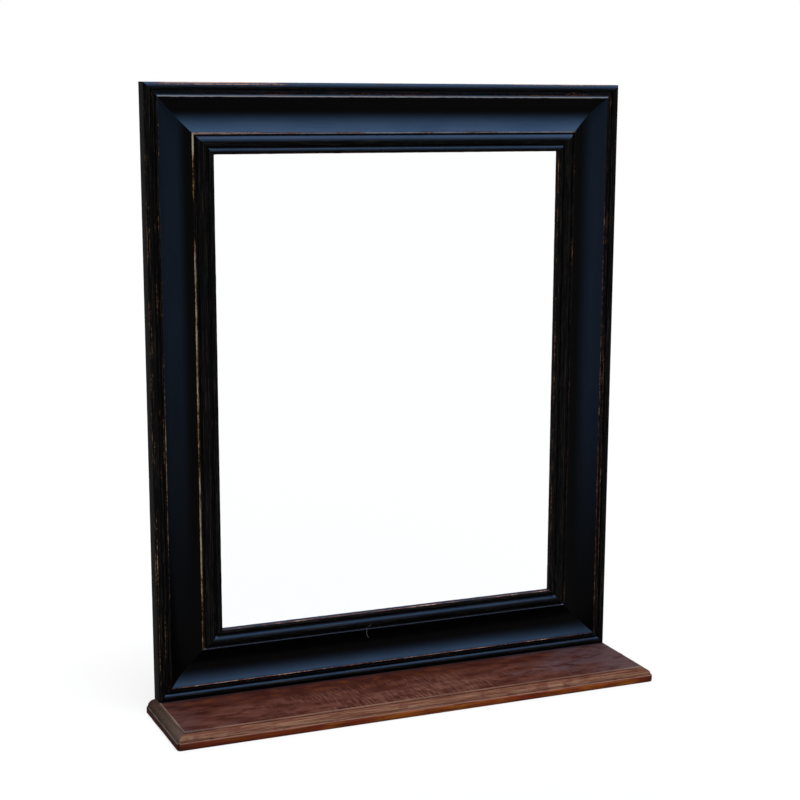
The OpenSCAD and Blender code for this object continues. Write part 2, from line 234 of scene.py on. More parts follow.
# How far sanding and rubbing rounded each corner of the section: place, radius in mm, and how
# much the wear may nibble out of it, 0 to 1.
roundings = [
    ((0, 0), 0.7, 0.3), ((rebate, 0), 0.4, 0), ((outer_bead[0], outer_side), 0.6, 0.8),
    ((outer_bead[1], outer_side), 0.45, 0.4), ((outer_bead[1], quirk_floor), 0.35, 0),
    ((low_step[0], quirk_floor), 0.35, 0), ((low_step[0], step_top), 0.5, 0.6),
    ((low_step[1], step_top), 0.4, 0.5), ((low_step[1], groove_floor), 0.25, 0),
    ((fillet[0], groove_floor), 0.25, 0), ((fillet[0], fillet_h), 0.7, 0.7),
    ((fillet[1], fillet_h), 0.8, 1.0), ((cove_end, shoulder_h), 0.7, 1.0),
    ((shoulder, shoulder_h), 0.6, 1.0), ((shoulder, inner_quirk), 0.4, 0),
    ((inner_bead[0], inner_quirk), 0.4, 0), ((inner_bead[0], inner_side), 0.35, 0.4),
    ((inner_bead[1], inner_side), 0.35, 0.3), ((inner_bead[1], lip_quirk), 0.12, 0),
    ((lip[0], lip_quirk), 0.3, 0), ((lip[0], lip_side), 0.35, 0.3), ((lip[1], lip_side), 0.8, 0.7),
]
ring_gap = 4 * mm
mitre_gap = 0.04 * mm
nibble_depth = 0.35 * mm
nibble_grain = 9 * mm
whole_mitre = 1.5 * mm          # the wear stops this far short of the mitres
straight = 0.999                # an edge whose direction has this much of an axis runs along it


def pick(kind, test):
    """In edit mode, selects the vertices, edges or faces that pass the test, and nothing else."""
    bpy.ops.mesh.select_all(action="DESELECT")
    bpy.ops.mesh.select_mode(type={"verts": "VERT", "edges": "EDGE", "faces": "FACE"}[kind])
    mesh = bmesh.from_edit_mesh(bpy.context.object.data)
    for item in getattr(mesh, kind):
        if test(item):
            item.select = True
    mesh.select_flush_mode()
    bmesh.update_edit_mesh(bpy.context.object.data)


def direction(edge):
    return (edge.verts[0].co - edge.verts[1].co).normalized()


def extrude(step):
    bpy.ops.mesh.extrude_region_move(TRANSFORM_OT_translate={"value": step})


def draw_outline(stretches):
    """Extrudes the selected vertex along straight stretches and spins it round centres."""
    at = Vector((0, 0, 0))
    for stretch in stretches:
        if len(stretch) == 2:
            step = Vector((*stretch, 0)) - at
            extrude(step)
            at = at + step
        else:
            centre, turn, steps = stretch
            bpy.ops.mesh.spin(steps=steps, angle=-turn, center=centre, axis=(0, 0, 1))
            at = centre + Matrix.Rotation(turn, 3, "Z") @ (at - centre)


def wear_away(piece, what, grain_size, strength, mid_level):
    """Bites clouds of that grain out of the piece's vertex group, then drops the group.

    The points go in or out by up to strength, mostly in where mid_level is above 0.5.
    """
    pattern = bpy.data.textures.new(what, "CLOUDS")
    pattern.noise_scale = grain_size
    pattern.noise_depth = 2
    bite = piece.modifiers.new(what, "DISPLACE")
    bite.texture = pattern
    bite.texture_coords = "LOCAL"
    bite.vertex_group = piece.vertex_groups[0].name
    bite.strength = strength
    bite.mid_level = mid_level
    bpy.ops.object.modifier_apply(modifier=bite.name)
    piece.vertex_groups.clear()


def moulding(length, number):
    """A mitred length of the moulding: x in from the outer edge, y out from the wall, z along."""
    bpy.ops.object.select_all(action="DESELECT")
    bpy.ops.mesh.primitive_plane_add(size=mm)
    bar = bpy.context.object
    bpy.ops.object.mode_set(mode="EDIT")
    bpy.ops.mesh.select_mode(type="VERT")
    bpy.ops.mesh.select_all(action="SELECT")
    bpy.ops.mesh.merge(type="CENTER")
    draw_outline(section)
    bpy.ops.mesh.select_all(action="SELECT")
    bpy.ops.mesh.remove_doubles(threshold=0.01 * mm)
    bpy.ops.mesh.select_all(action="SELECT")
    bpy.ops.mesh.edge_face_add()
    for place, radius, worn in roundings:
        corner = Vector((*place, 0))
        pick("verts", lambda v: (v.co - corner).length < 0.02 * mm)
        bpy.ops.mesh.bevel(offset=radius * mm, segments=3, affect="VERTICES")
    # lengthwise: one extrusion, both ends sawn off at 45 degrees, then rings for the wear to bite
    bpy.ops.mesh.select_all(action="SELECT")
    bpy.ops.transform.translate(value=(0, 0, -length / 2))
    extrude((0, 0, length))
    for end in (-1, 1):
        bpy.ops.mesh.select_all(action="SELECT")
        bpy.ops.mesh.bisect(plane_co=(0, 0, end * (length / 2 - mitre_gap)), plane_no=(1, 0, end),
                            use_fill=True, clear_outer=True, threshold=1e-7)
    pick("edges", lambda e: abs(direction(e).z) > straight)
    bpy.ops.mesh.subdivide(number_cuts=round(length / ring_gap))
    bpy.ops.mesh.select_all(action="SELECT")
    bpy.ops.mesh.normals_make_consistent(inside=False)
    bpy.ops.object.mode_set(mode="OBJECT")
    # the arrises are no longer dead straight: rubbing took a little more here and a little less there
    worn_arrises = bar.vertex_groups.new(name="worn_arrises")
    for place, radius, worn in roundings:
        reach = 1.1 * radius * mm
        near = [v.index for v in bar.data.vertices
                if worn and abs(v.co.x - place[0]) < reach and abs(v.co.y - place[1]) < reach
                and abs(v.co.z) < length / 2 - v.co.x - whole_mitre]
        if near:
            worn_arrises.add(near, worn, "REPLACE")
    # each bar is moved its own way off for the bites, so that no two are worn alike
    bar.location.z = number * length
    bpy.ops.object.transform_apply(location=True)
    wear_away(bar, "rubbed arris", nibble_grain, strength=nibble_depth * 2, mid_level=0.75)
    bar.location.z = -number * length
    bpy.ops.object.transform_apply(location=True)
    return bar


def take_up(piece):
    """Selects one piece alone, for the operators to work on."""
    bpy.ops.object.select_all(action="DESELECT")
    piece.select_set(True)
    bpy.context.view_layer.objects.active = piece


def cutter_from(node, fatter, moved=(0, 0, 0)):
    """A free copy of a CAD node, merged and slightly fattened, to cut the room that the node lies in."""
    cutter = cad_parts[node].copy()
    cutter.data = cutter.data.copy()
    cutter.parent = None
    scene.collection.objects.link(cutter)
    take_up(cutter)
    bpy.ops.mesh.customdata_custom_splitnormals_clear()
    bpy.ops.object.mode_set(mode="EDIT")
    bpy.ops.mesh.select_all(action="SELECT")
    bpy.ops.mesh.remove_doubles(threshold=0.002 * mm)
    bpy.ops.mesh.select_all(action="SELECT")
    bpy.ops.transform.shrink_fatten(value=fatter)
    bpy.ops.transform.translate(value=moved)
    bpy.ops.object.mode_set(mode="OBJECT")
    return cutter


def cut_out(piece, what, cutter):
    cut = piece.modifiers.new(what, "BOOLEAN")
    cut.operation = "DIFFERENCE"
    cut.solver = "EXACT"
    cut.object = cutter
    bpy.context.view_layer.objects.active = piece
    bpy.ops.object.modifier_apply(modifier=cut.name)


# The V-shaped mitre nails' cutter also reaches out of the back face, so each nail sits sunk in an
# open slot.
nails = cutter_from("mitre_nails", fatter=0.15 * mm, moved=(0, 0.6 * mm, 0))

# Worn places that stand out, by piece: on which arris (in from the edge), from and to where (mm up
# the stile from its foot, or along the rail from its left end), how much more wear than elsewhere.
worn_places = {
    "left_stile": [
        (70.3, 800, 829, 1.2), (71.8, 804, 826, 1.2), (70.3, 742, 800, 0.4), (70.3, 515, 672, 0.42),
        (71.8, 520, 660, 0.3), (70.3, 334, 515, 0.4), (70.3, 190, 334, 0.44), (71.8, 190, 334, 0.4),
        (71.4, 60, 190, 0.36), (76, 120, 170, 0.2), (17.5, 700, 800, 0.3), (19.6, 380, 520, 0.4),
        (16.6, 360, 440, 0.3), (19.6, 150, 380, 0.3), (0.6, 60, 800, 0.1), (2.6, 590, 800, 0.06),
        (2.6, 330, 590, 0.18), (2.6, 60, 330, 0.28), (13, 60, 130, 0.3), (98, 60, 560, -0.3),
    ],
    "right_stile": [
        (14.6, 420, 700, 0.3), (19.6, 300, 720, 0.34), (12.2, 60, 480, 0.44), (19.6, 60, 300, 0.36),
        (1, 40, 420, 0.2), (10, 500, 860, 0.2), (71, 40, 600, -0.12), (76, 640, 672, 0.5),
        (71, 610, 640, 0.16), (13, 868, 880, 0.9), (99, 60, 780, 0.12),
    ],
    "bottom_rail": [
        (19.6, 20, 720, 0.5), (16.6, 20, 720, 0.26), (71.6, 80, 690, -0.3), (75, 80, 680, -0.25),
        (3, 0, 746, -0.5), (99.4, 100, 640, 0.44),
    ],
    "top_rail": [
        (0.8, 20, 200, 0.9), (2.4, 10, 210, 0.7), (0.8, 560, 736, 0.5), (1, 200, 560, -0.1),
        (14.6, 20, 730, 0.36), (17, 20, 730, 0.3), (19.8, 20, 730, -0.3), (70.8, 60, 180, 0.7),
        (71, 180, 330, 0.3), (71, 330, 660, 0.12), (99.4, 110, 640, 0.44),
    ],
}
worn_reach = 1.6                # how far to either side of its arris a worn place goes (mm)
worn_fade = 18                  # and over what length each of its ends comes and goes (mm)
# A painted blue-grey sheen, the sky's light laid into the paint's colour, lies on what faces up.
# By piece, from the outer edge inwards: up to where (mm), the slopes (the normal's rise, -1 to 1) at
# which it starts and is full, and how strong it is. On the stiles a fainter painted sheen dies out
# across the cove, between two places (mm in from the edge), and towards the foot, from a third (mm
# up), which leaves painted shade where the cove turns up to the shoulder.
painted_sheen_facing_up = {
    "top_rail": [(10.6, -0.5, 0.7, 0.62), (19.5, -0.1, 0.7, 0.3), (70.3, -0.26, 0.22, 1.0),
                 (101, -0.1, 0.7, 0.62)],
    "bottom_rail": [(19.5, 0.3, 0.95, 0.68), (70.3, 0.2, 0.9, 0.62), (98, 0.15, 0.95, 0.76),
                    (101, 0.3, 0.95, 0.2)],
}
painted_sheen_across = {"left_stile": (46, 62, 640, 0.12), "right_stile": (34, 60, 520, 0.15)}
sheen_far_end_fade = 0.35             # and how much of the bottom rail's is gone at its right end
# and the stretches of the rails' arrises that carry a painted glint from end to end: between where
# (mm), how bright; only what stands out from the wall beyond the limit set below gets the glint
glint_arrises = {
    "top_rail": [(18.9, 19.95, 2.0), (70.2, 72.0, 1.5)],
    "bottom_rail": [(71.4, 72.2, 1.2)],
}
glint_from = lip_side - 8 * mm
pattern_gap = 2.3               # the four bars' patterns are taken this far apart, so no two are alike


def smooth_rise(value, start, end):
    part = min(max((value - start) / (end - start), 0), 1)
    return part * part * (3 - 2 * part)


half_turn = math.pi
quarter = math.pi / 2
# name, length, turn, place, and which way the local length runs as seen (+1 up or to the right)
sides = [
    ("left_stile", frame_h, (half_turn, 0, 0), (-frame_w / 2, wall_y, frame_mid_z), -1),
    ("right_stile", frame_h, (0, 0, half_turn), (frame_w / 2, wall_y, frame_mid_z), 1),
    ("bottom_rail", frame_w, (0, -quarter, half_turn), (0, wall_y, frame_z), 1),
    ("top_rail", frame_w, (0, quarter, half_turn), (0, wall_y, frame_z + frame_h), -1),
]
mouldings = {}
for number, (name, length, turn, place, run) in enumerate(sides):
    bar = moulding(length, number)
    bar.name = name.replace("_", "_moulding_")
    bar.rotation_euler = turn
    bar.location = place
    bpy.context.view_layer.update()
    back_to_bar = bar.matrix_world.inverted()
    bpy.ops.object.transform_apply(location=True, rotation=True, scale=True)
    cut_out(bar, "nail slots", nails)
    bpy.ops.object.shade_smooth_by_angle(angle=math.radians(38))
    # each point's place in the moulding (in from the edge, out from the wall, along it), how much it
    # was rubbed beyond the rest, how far the wood under it is the rails' redder one, and its painted sheen
    bar.data.attributes.new("section", "FLOAT_VECTOR", "POINT")
    bar.data.attributes.new("rub", "FLOAT", "POINT")
    bar.data.attributes.new("red_wood", "FLOAT", "POINT")
    bar.data.attributes.new("painted_sheen", "FLOAT", "CORNER")
    kept = [bar.data.attributes[a].data for a in ("section", "rub", "red_wood")]
    for v, place_kept, rubbed_more, red in zip(bar.data.vertices, *kept):
        at = back_to_bar @ v.co
        place_kept.vector = (at.x, at.y, at.z + pattern_gap * number)
        along = (run * at.z + length / 2) / mm
        for edge, start, end, amount in worn_places[name]:
            fade = min(along - start, end - along) / worn_fade + 0.5
            if abs(at.x / mm - edge) < worn_reach and fade > 0:
                rubbed_more.value += amount * min(fade, 1)
        redder = {"left_stile": 0, "right_stile": 1 - 0.45 * smooth_rise(along, 150, 700)}
        red.value = redder.get(name, 1)
    # the painted sheen, set per corner from its normal: lighter where the surface faces up, as the light
    # falls
    corners = zip(bar.data.loops, bar.data.corner_normals, bar.data.attributes["painted_sheen"].data)
    for corner, normal, sheen_here in corners:
        at = back_to_bar @ bar.data.vertices[corner.vertex_index].co
        across = at.x / mm
        in_cove = fillet[1] - 0.3 * mm < at.x < cove_end + 0.3 * mm
        if name in painted_sheen_across:
            start, end, foot, most = painted_sheen_across[name]
            up_the_stile = smooth_rise((run * at.z + length / 2) / mm, 0.1 * foot, foot)
            sheen_here.value = most * (1 - smooth_rise(across, start, end)) * up_the_stile if in_cove else 0.0
        else:
            start, end, most = next(zone[1:] for zone in painted_sheen_facing_up[name] if across < zone[0])
            sheen_here.value = most * smooth_rise(normal.vector.z, start, end)
            if name == "bottom_rail":
                sheen_here.value *= 1 - sheen_far_end_fade * smooth_rise(run * at.z / length, 0.2, 0.5)
            # painted glint lines along these arrises, the full length of the rail
            for start_in, end_in, glint_strength in glint_arrises[name]:
                if start_in < across < end_in and at.y > glint_from:
                    sheen_here.value = glint_strength
    mouldings[name] = bar
bpy.data.objects.remove(nails)

# Black paint, brushed on in thin coats over a red-brown stain and left satin; the back was left bare.
# The eye sees a near-black coat with brush lines, browner streaks on the beads that are a painted
# reflection of the warm room, a painted blue-grey sheen on what faces up, painted glints along some of
# the rails' arrises, and thin broken lines where rubbing has gone through to the wood on each arris.
paint = bpy.data.materials.new("satin black brushed paint, rubbed through on the arrises")
tree = blank_tree(paint)
place_in = add_node("Attribute", give="Vector", attribute_name="section")
rub_more = add_node("Attribute", give="Fac", attribute_name="rub")
painted_sheen = add_node("Attribute", give="Fac", attribute_name="painted_sheen")
red_wood = add_node("Attribute", give="Fac", attribute_name="red_wood")
flat_place = add_node("VectorMath", place_in, (1, 1, 0), operation="MULTIPLY")
in_from_edge, out_from_wall, along_bar = add_node("SeparateXYZ", place_in).node.outputs


def noise_on(vector, grain_size, detail=3.0, roughness=0.5, seed=0.0):
    """Noise whose grains measure so many mm each way; its value is centred on 0.5."""
    finer = [1 / (size * mm) for size in grain_size]
    stretched = add_node("VectorMath", vector, finer, (seed, seed, seed), operation="MULTIPLY_ADD")
    return add_node("TexNoise", stretched, 1.0, detail, roughness)


def blended(a, b, value, start, end, most=1.0, least=0.0):
    """Colour a with the least of b where a value is at start, and the most of b where it is at end."""
    share = add_node("MapRange", value, start, end, least, most)
    return add_node("Mix", share, a, b, data_type="RGBA")


def masked(share, value, start, end, most=1.0, least=0.0):
    """A share, times the least where a value is at start and the most where it is at end."""
    let_through = add_node("MapRange", value, start, end, least, most)
    return add_node("Math", share, let_through, operation="MULTIPLY")


strokes = noise_on(place_in, (0.9, 0.9, 60), 3.0, 0.65)
clouds = noise_on(place_in, (26, 26, 90), 3.0, seed=4.0)
stretches = noise_on(place_in, (14, 14, 90), 2.0, 0.5, seed=9.0)
patches = noise_on(place_in, (3, 3, 16), 3.0, 0.6, seed=31.0)
ragged = noise_on(place_in, (0.8, 0.8, 4.6), 4.0, 0.7, seed=13.0)

# Where rubbing gets through: place on the section, how far it reaches (mm), how strongly.
arrises = [
    ((0.5 * mm, outer_side + 0.5 * mm), 0.95, 0.46), ((2.8 * mm, outer_crown - 0.6 * mm), 0.7, 0.36),
    ((outer_bead[1], outer_side), 0.45, 0.26),
    ((low_step[0] + 0.2 * mm, step_top), 0.5, 0.46), ((low_step[1] - 0.1 * mm, step_top), 0.45, 0.42),
    ((fillet[0] + 0.2 * mm, fillet_h), 0.5, 0.42), ((fillet[1] - 0.2 * mm, fillet_h), 0.55, 0.52),
    ((cove_end + 0.1 * mm, shoulder_h), 0.75, 0.5), ((shoulder - 0.2 * mm, shoulder_h), 0.7, 0.48),
    ((inner_bead[0] + 0.4 * mm, inner_side + 0.3 * mm), 0.5, 0.36), ((inner_bead[1], inner_side), 0.4, 0.26),
    ((lip[0] + 0.3 * mm, lip_side), 0.4, 0.26), ((lip[1] - 0.3 * mm, lip_side), 0.7, 0.5),
]
rubbing = None
for spot, reach, amount in arrises:
    away = add_node("VectorMath", flat_place, (*spot, 0), operation="DISTANCE")
    here = add_node("MapRange", away, 0.0, 2 * reach * mm, amount, 0.0)
    rubbing = here if rubbing is None else add_node("Math", rubbing, here, operation="MAXIMUM")
chance = None
for pattern, swing in ((stretches, 1.2), (patches, 1.0), (ragged, 1.7)):
    swung = add_node("Math", pattern, swing, -swing / 2, operation="MULTIPLY_ADD")
    chance = swung if chance is None else add_node("Math", chance, swung)
chance = masked(chance, rubbing, 0.0, 0.12, 1.0, 0.5)
told = masked(rub_more, rubbing, 0.12, 0.34)
rubbed = add_node("Math", chance, add_node("Math", rubbing, told))
thinned = add_node("MapRange", rubbed, 0.36, 0.6)
bare = add_node("MapRange", rubbed, 0.6, 0.76)
pale = add_node("MapRange", rubbed, 0.84, 1.1)

# In the coves the coat is smooth; on the stiles' beads and steps it is streaked browner, a painted
# reflection of the warm room laid along the brush strokes.
on_inner = add_node("MapRange", in_from_edge, cove_end - 1.5 * mm, cove_end + 0.5 * mm)
on_outer = add_node("MapRange", in_from_edge, fillet[1] + 0.5 * mm, fillet[1] - 0.5 * mm)
on_beads = add_node("Math", on_inner, on_outer, operation="MAXIMUM")
streaked = masked(on_beads, strokes, 0.5, 0.64)
warm_reflection_streaks = blended("#1e1a17", "#34312e", patches, 0.4, 0.6)
coat = add_node("Mix", streaked, "#070708", warm_reflection_streaks, data_type="RGBA")
# painted sheen: sky-blue, darker along the brush strokes, turning to a pale painted glint where its share
# passes 1
sheen_colour = add_node("Mix", clouds, "#3f5c7f", "#5a7394", data_type="RGBA")
sheen_colour = blended(sheen_colour, "#2a3c50", strokes, 0.3, 0.7, 0.25)
sheen_colour = blended(sheen_colour, "#c4bfbe", painted_sheen, 1.0, 2.0)
coat = add_node("Mix", painted_sheen, coat, sheen_colour, data_type="RGBA")
thin_coat = add_node("Math", thinned, 0.8, operation="MULTIPLY")
coat = add_node("Mix", thin_coat, coat, "#38241b", data_type="RGBA")
tan_wood = add_node("Mix", ragged, "#6e4526", "#bb9460", data_type="RGBA")
tan_wood = add_node("Mix", pale, tan_wood, "#d3c6a8", data_type="RGBA")
redder_wood = add_node("Mix", pale, "#7a4534", "#c0a694", data_type="RGBA")
wood_tone = add_node("Mix", red_wood, tan_wood, redder_wood, data_type="RGBA")
coat = add_node("Mix", bare, coat, wood_tone, data_type="RGBA")

# one curved scratch crosses the bottom rail's inner shoulder, a little left of its middle
scratch_centre = (68 * mm, 0, 2 * pattern_gap - 22 * mm)
scratch_r = 19 * mm
scratch_mid = 68 * mm
scratch_half = 13 * mm
seen_flat = add_node("VectorMath", place_in, (1, 0, 1), operation="MULTIPLY")
off_centre = add_node("VectorMath", seen_flat, scratch_centre, operation="DISTANCE")
off_line = add_node("Math", off_centre, scratch_r, operation="SUBTRACT")
off_line = add_node("Math", off_line, operation="ABSOLUTE")
off_mid = add_node("Math", in_from_edge, scratch_mid, operation="SUBTRACT")
off_mid = add_node("Math", off_mid, operation="ABSOLUTE")
on_left = add_node("Math", along_bar, scratch_centre[2], operation="LESS_THAN")
scratched = add_node("MapRange", off_line, 0.55 * mm, 0.25 * mm)
scratched = masked(scratched, off_mid, scratch_half, scratch_half - 3 * mm)
for limit in (on_left, red_wood):
    scratched = add_node("Math", scratched, limit, operation="MULTIPLY")
coat = add_node("Mix", scratched, coat, "#8f979f", data_type="RGBA")

# the back and the rebate are bare pine, dark with age, and the paint laps raggedly over the edge
lap = add_node("Math", patches, 14 * mm, -7 * mm, operation="MULTIPLY_ADD")
lap = add_node("Math", in_from_edge, lap)
behind = add_node("MapRange", out_from_wall, 0.9 * mm, 0.4 * mm)
behind = masked(behind, lap, 5 * mm, 6 * mm)
in_rebate = add_node("MapRange", in_from_edge, rebate - 0.3 * mm, rebate - 0.1 * mm)
in_rebate = masked(in_rebate, out_from_wall, plate_front + 0.1 * mm, plate_front - 0.1 * mm)
unpainted = add_node("Math", behind, in_rebate, operation="MAXIMUM")
figure = noise_on(place_in, (5, 5, 230), 2.0, 0.5, seed=40.0)
fibres = noise_on(place_in, (0.5, 0.5, 30), 3.0, 0.6, seed=44.0)
back_wood = blended("#8a623f", "#6a4429", figure, 0.4, 0.62)
back_wood = blended(back_wood, "#54361f", fibres, 0.35, 0.7, 0.55)
back_wood = blended(back_wood, "#4e3625", clouds, 0.45, 0.7, 0.5)
surface = add_node("Mix", unpainted, coat, back_wood, data_type="RGBA")

raw = add_node("Math", bare, unpainted, operation="MAXIMUM")
gloss = add_node("MapRange", strokes, 0.2, 0.8, 0.42, 0.55)
dulled = add_node("Mix", raw, gloss, 0.8)
relief = add_node("Math", bare, -0.7, strokes, operation="MULTIPLY_ADD")
relief = add_node("Mix", unpainted, relief, fibres)
brushed = add_node("Bump", Strength=0.35, Distance=0.12 * mm, Height=relief)
skin = add_node("BsdfPrincipled", surface, Roughness=dulled, Specular_IOR_Level=0.0, Coat_Weight=0.045,
                Coat_Roughness=0.26, Normal=brushed, Coat_Normal=brushed)
add_node("OutputMaterial", skin)

for name, bar in mouldings.items():
    bar.data.materials.clear()
    bar.data.materials.append(paint)
    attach(bar, "frame")
    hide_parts(name)

# ------------------------------------------------------------------------------------- shelf
# One board of red-brown stained hardwood, planed and moulded along its front and both ends: a
# rounded nose, a fine groove, a quarter-round and a small step up to the flat. Rubbed and aged
# soft, and screwed up into the frame from below through five countersunk holes.
shelf_low, shelf_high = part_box("shelf")
shelf_w = shelf_high.x - shelf_low.x
shelf_front = shelf_low.y
nose_corner = 6 * mm            # how far the nose is rounded in plan at the two front corners
sawn_off = 20 * mm              # the blank is this much deeper, and sawn off at the wall

# The moulded edge, in from the edge and up, in mm: down from the nose's lower line, and up from it.
lower_edge = [(0.0, 1.4), (0.6, 0.4), (1.7, 0.0)]
upper_edge = [(0.0, 1.4), (0.0, 8.6), (0.25, 10.0), (0.8, 11.1), (1.4, 11.6), (1.85, 10.8), (2.05, 11.9)]
round_c, round_r, round_start, round_steps = (12.4, 10.0), 10.6, 12.9, 9
for i in range(1, round_steps + 1):
    turn = math.radians(round_start + (90 - round_start) * i / round_steps)
    upper_edge.append((round_c[0] - round_r * math.cos(turn), round_c[1] + round_r * math.sin(turn)))
upper_edge += [(12.6, 20.7), (12.7, 22.2), (13.4, 23.0)]
corner_closes = 10              # the line of the upper edge from which the two front corners are sharp
moulded_w = upper_edge[-1][0] * mm

bpy.ops.object.select_all(action="DESELECT")
bpy.ops.mesh.primitive_plane_add(size=1, location=(0, 0, 0))
board = bpy.context.object
board.name = "shelf_board"
board.scale = (shelf_w, wall_y + sawn_off - shelf_front, 1)
board.location = (0, (wall_y + sawn_off + shelf_front) / 2, shelf_low.z + upper_edge[0][1] * mm)
bpy.ops.object.transform_apply(location=True, scale=True)
bpy.ops.object.mode_set(mode="EDIT")
pick("verts", lambda v: v.co.y < 0)
bpy.ops.mesh.bevel(offset=nose_corner, segments=6, affect="VERTICES")


def pick_flat(height):
    pick("faces", lambda f: all(abs(v.co.z - shelf_low.z - height * mm) < 1e-6 for v in f.verts))


def follow(edge, closes=None):
    """Carries the picked flat along an edge's lines, each one inset from the last and moved up or down."""
    for i in range(1, len(edge)):
        inward, rise = (edge[i][0] - edge[i - 1][0]) * mm, (edge[i][1] - edge[i - 1][1]) * mm
        if inward > 1e-9:
            bpy.ops.mesh.inset(thickness=inward, depth=0)
            bpy.ops.transform.translate(value=(0, 0, rise))
        else:
            extrude((0, 0, rise))
        if closes == i:
            for side in (-1, 1):
                tip = Vector((side * (shelf_w / 2 - edge[i][0] * mm), shelf_front + edge[i][0] * mm,
                              shelf_low.z + edge[i][1] * mm))
                pick("verts", lambda v: abs(v.co.z - tip.z) < 1e-6 and (v.co - tip).length < 2 * mm)
                bpy.ops.mesh.merge(type="CENTER")
            pick_flat(edge[i][1])


bpy.ops.mesh.select_all(action="SELECT")
follow(upper_edge, corner_closes)
pick_flat(lower_edge[0][1])
follow(lower_edge)
bpy.ops.mesh.select_all(action="SELECT")
bpy.ops.mesh.bisect(plane_co=(0, wall_y, 0), plane_no=(0, 1, 0), use_fill=True, clear_outer=True,
                    threshold=1e-7)
# lines across the moulded edge, about 5 mm apart, for the wear to work on
edge_strip = 14 * mm
pick("edges", lambda e: abs(direction(e).x) > straight and e.calc_length() > 0.5
     and e.verts[0].co.y < shelf_front + edge_strip)
bpy.ops.mesh.subdivide(number_cuts=150)
pick("edges", lambda e: abs(direction(e).y) > straight and e.calc_length() > 0.1
     and abs(e.verts[0].co.x) > shelf_w / 2 - edge_strip)
bpy.ops.mesh.subdivide(number_cuts=32)
bpy.ops.mesh.select_all(action="SELECT")
bpy.ops.mesh.normals_make_consistent(inside=False)
bpy.ops.object.mode_set(mode="OBJECT")

# The edge has gone soft and uneven with use: its lines wander by a few tenths of a millimetre.
soft_edge = board.vertex_groups.new(name="soft_edge")
for v in board.data.vertices:
    edge_in = min(v.co.y - shelf_front, shelf_w / 2 - abs(v.co.x))
    if edge_in < moulded_w and v.co.y < wall_y - 3 * mm and v.co.z > shelf_low.z + 0.2 * mm:
        soft_edge.add([v.index], 1.0, "REPLACE")
wear_away(board, "knocked edge", grain_size=16 * mm, strength=0.9 * mm, mid_level=0.85)

# five countersunk holes with clearance round the screws
screw_xs = sorted(v.co.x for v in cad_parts["shelf_screws"].data.vertices)
screw_rows = [[screw_xs[0]]]
for x in screw_xs:
    if x - screw_rows[-1][-1] > 20 * mm:
        screw_rows.append([])
    screw_rows[-1].append(x)
screw_low, screw_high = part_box("shelf_screws")
head_r = (screw_high.y - screw_low.y) / 2 + 0.1 * mm
shank_r = 1.9 * mm
for row in screw_rows:
    bpy.ops.object.select_all(action="DESELECT")
    bpy.ops.mesh.primitive_cone_add(vertices=48, radius1=head_r, radius2=shank_r, depth=head_r - shank_r)
    drill = bpy.context.object
    drill.location = ((min(row) + max(row)) / 2, (screw_low.y + screw_high.y) / 2,
                      screw_low.z + (head_r - shank_r) / 2)
    bpy.ops.object.mode_set(mode="EDIT")
    pick("faces", lambda f: f.normal.z < -0.9)
    extrude((0, 0, -2 * mm))
    bpy.ops.object.mode_set(mode="OBJECT")
    cut_out(board, "screw hole", drill)
    bpy.data.objects.remove(drill)
take_up(board)
bpy.ops.object.shade_smooth_by_angle(angle=math.radians(35))

# Red-brown stained hardwood under an old thin oil finish. The eye sees a mottled red-brown flat
# with a faint ripple across the grain and a painted grey sheen towards the ends, grey end faces that
# darken towards the back, fine grain along the mouldings, painted highlights on their rounds, step
# and nose, and a warmer orange nose above a dark lower line of painted shade.
stain = bpy.data.materials.new("red-brown stained hardwood, oiled and worn")
tree = blank_tree(stain)
at = add_node("TexCoord", give="Object")
sideways, inwards, height = add_node("SeparateXYZ", at).node.outputs

from_middle = add_node("Math", sideways, operation="ABSOLUTE")
from_end = add_node("Math", shelf_w / 2, from_middle, operation="SUBTRACT")
from_front = add_node("Math", inwards, shelf_front, operation="SUBTRACT")
past_mitre = add_node("Math", from_front, from_end, operation="SUBTRACT")
end_face = masked(add_node("MapRange", past_mitre, -0.3 * mm, 0.3 * mm), from_end, 12.8 * mm, 12.2 * mm)
blotches = noise_on(at, (48, 20, 30), 3.0, 0.55, seed=2.0)
dark_spots = noise_on(at, (26, 13, 20), 2.0, 0.5, seed=21.0)
greyed = noise_on(at, (90, 34, 40), 2.0, 0.5, seed=7.0)
grain = noise_on(at, (55, 0.8, 0.8), 4.0, 0.6, seed=3.0)
pores = noise_on(at, (7, 0.35, 0.35), 2.0, 0.5, seed=5.0)

# the ripple runs across the board, and comes and goes in its front and middle
slant = add_node("VectorRotate", at, Angle=math.radians(-3), rotation_type="Z_AXIS")
ripple = noise_on(slant, (3.2, 26, 30), 2.0, 0.6, seed=11.0)
ripple_here = add_node("MapRange", noise_on(at, (90, 50, 60), 1.0, seed=17.0), 0.34, 0.56)
for place, gone, full in ((sideways, 0.31, 0.14), (sideways, -0.27, -0.15),
                          (from_front, 116 * mm, 84 * mm)):
    ripple_here = masked(ripple_here, place, gone, full)
lit_ripple = masked(ripple_here, ripple, 0.46, 0.72)
dark_ripple = masked(ripple_here, ripple, 0.5, 0.3)

